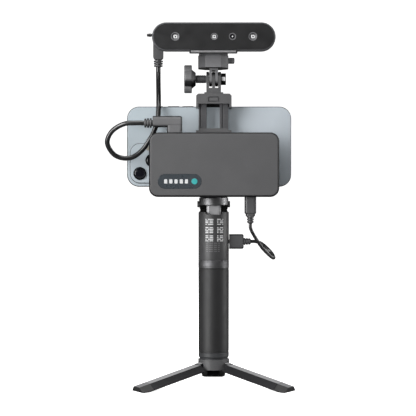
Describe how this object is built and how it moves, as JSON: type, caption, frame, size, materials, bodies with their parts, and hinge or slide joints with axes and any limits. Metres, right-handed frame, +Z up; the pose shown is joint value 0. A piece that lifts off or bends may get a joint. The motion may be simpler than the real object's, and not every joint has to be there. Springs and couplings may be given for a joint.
{
  "type": "handheld 3-d scanner kit",
  "caption": "Handheld structured-light scanner bar on a tilting pronged mount, with a sprung phone clamp, a battery box, a battery handle with a tilt neck and fold-out tripod legs.",
  "frame": {"origin": "mouth of the threaded socket under the tripod crown, on the handle's axis", "axes": "+Z up along the handle, the scanner's optics face -Y, +X is to the right as seen from the front"},
  "size_m": [0.1633, 0.1216, 0.3134],
  "materials": {
    "black_plastic": "fine moulded texture",
    "leg_metal": "satin anodised",
    "rubber": "matte",
    "grip": "soft touch",
    "handle_gloss": "satin lacquer",
    "ring_metal": "dark anodised",
    "steel": "brushed",
    "cell": "wrapped",
    "board": "solder mask",
    "cable": "satin cord",
    "box_shell": "fine texture",
    "box_shell_back": "fine texture",
    "badge": "gloss",
    "phone_metal": "satin",
    "phone_back": "satin glass",
    "phone_glass": "polished",
    "scanner_shell": "fine texture",
    "scanner_glass": "dark window",
    "optics": "coated lens",
    "plate_metal": "anodised"
  },
  "bodies": {
    "handle": {"tripod_crown": "black_plastic", "leg_pins": "steel", "handle_bottom_cap": "black_plastic", "grip_sleeve": "grip", "battery_cell": "cell", "ring_band": "ring_metal", "handle_tube": "handle_gloss", "handle_circuit_board": "board", "tilt_neck": "steel", "handle_plug": "cable", "usb_cable": "cable"},
    "leg_left": {"leg_left": "leg_metal", "foot_left": "rubber"},
    "leg_right": {"leg_right": "leg_metal", "foot_right": "rubber"},
    "leg_back": {"leg_back": "leg_metal", "foot_back": "rubber"},
    "handle_power_button": {"handle_power_button": "handle_gloss"},
    "tilt_head": {"tilt_cap": "handle_gloss", "tilt_pin": "handle_gloss", "lower_jaw": "black_plastic", "lower_jaw_pad": "rubber", "clamp_body": "black_plastic", "clamp_spring": "steel", "box_mount_plate": "black_plastic", "box_back_shell": "box_shell_back", "box_front_shell": "box_shell", "box_badge": "badge", "box_battery": "cell", "box_circuit_board": "board", "box_top_plug": "cable", "box_bottom_plug": "cable", "scanner_cable": "cable"},
    "box_power_button": {"box_power_button": "black_plastic"},
    "phone": {"phone_frame": "phone_metal", "phone_back_glass": "phone_back", "phone_screen": "phone_glass", "phone_camera_island": "phone_back", "phone_lenses": "phone_glass"},
    "volume_up_button": {"volume_up_button": "phone_metal"},
    "volume_down_button": {"volume_down_button": "phone_metal"},
    "action_button": {"action_button": "phone_metal"},
    "clamp_jaw": {"upper_jaw": "black_plastic", "upper_jaw_pad": "rubber", "jaw_rails": "black_plastic", "prong_mount": "black_plastic", "hinge_nut": "steel"},
    "thumb_screw": {"thumb_screw_knob": "black_plastic", "thumb_screw_shank": "steel"},
    "scanner_head": {"quick_release_base": "black_plastic", "quick_release_plate": "plate_metal", "scanner_rear_shell": "scanner_shell", "scanner_front_frame": "scanner_shell", "scanner_window": "scanner_glass", "scanner_cameras": "optics", "scanner_projector": "optics", "scanner_circuit_board": "board", "scanner_plug": "cable"},
    "release_button": {"release_button": "black_plastic"},
    "scan_button": {"scan_button": "black_plastic"}
  },
  "joints": [
    {"name": "back_leg_fold", "type": "hinge", "parent": "handle", "child": "leg_back", "pos_m": [0, 0.0093, 0.0033], "axis": [-1, 0, 0], "range_deg": [0, 75.5]},
    {"name": "left_leg_fold", "type": "hinge", "parent": "handle", "child": "leg_left", "pos_m": [-0.00805, -0.00465, 0.0033], "axis": [0.5, -0.866, 0], "range_deg": [0, 75.5]},
    {"name": "right_leg_fold", "type": "hinge", "parent": "handle", "child": "leg_right", "pos_m": [0.00805, -0.00465, 0.0033], "axis": [0.5, 0.866, 0], "range_deg": [0, 75.5]},
    {"name": "handle_power_press", "type": "slide", "parent": "handle", "child": "handle_power_button", "axis": [0, -1, 0], "range_m": [0, 0.0005]},
    {"name": "head_tilt", "type": "hinge", "parent": "handle", "child": "tilt_head", "pos_m": [0, 0, 0.1431], "axis": [1, 0, 0], "range_deg": [-22, 22], "deforming": ["usb_cable"]},
    {"name": "box_power_press", "type": "slide", "parent": "tilt_head", "child": "box_power_button", "axis": [0, 0, -1], "range_m": [0, 0.0005]},
    {"name": "phone_shift", "type": "slide", "parent": "tilt_head", "child": "phone", "axis": [-1, 0, 0], "range_m": [-0.003, 0.03]},
    {"name": "volume_up_press", "type": "slide", "parent": "phone", "child": "volume_up_button", "axis": [0, 0, -1], "range_m": [0, 0.0004]},
    {"name": "volume_down_press", "type": "slide", "parent": "phone", "child": "volume_down_button", "axis": [0, 0, -1], "range_m": [0, 0.0004]},
    {"name": "action_press", "type": "slide", "parent": "phone", "child": "action_button", "axis": [0, 0, -1], "range_m": [0, 0.0004]},
    {"name": "clamp_slide", "type": "slide", "parent": "tilt_head", "child": "clamp_jaw", "axis": [0, 0, 1], "range_m": [0, 0.018], "deforming": ["clamp_spring", "scanner_cable"]},
    {"name": "thumb_screw_turn", "type": "hinge", "parent": "clamp_jaw", "child": "thumb_screw", "pos_m": [0, 0, 0.2518], "axis": [1, 0, 0], "continuous": true},
    {"name": "scanner_tilt", "type": "hinge", "parent": "clamp_jaw", "child": "scanner_head", "pos_m": [0, 0, 0.2518], "axis": [1, 0, 0], "range_deg": [-75, 75]},
    {"name": "release_press", "type": "slide", "parent": "scanner_head", "child": "release_button", "axis": [-1, 0, 0], "range_m": [0, 0.0016]},
    {"name": "scan_press", "type": "slide", "parent": "scanner_head", "child": "scan_button", "axis": [0, -1, 0], "range_m": [0, 0.0006]}
  ]
}
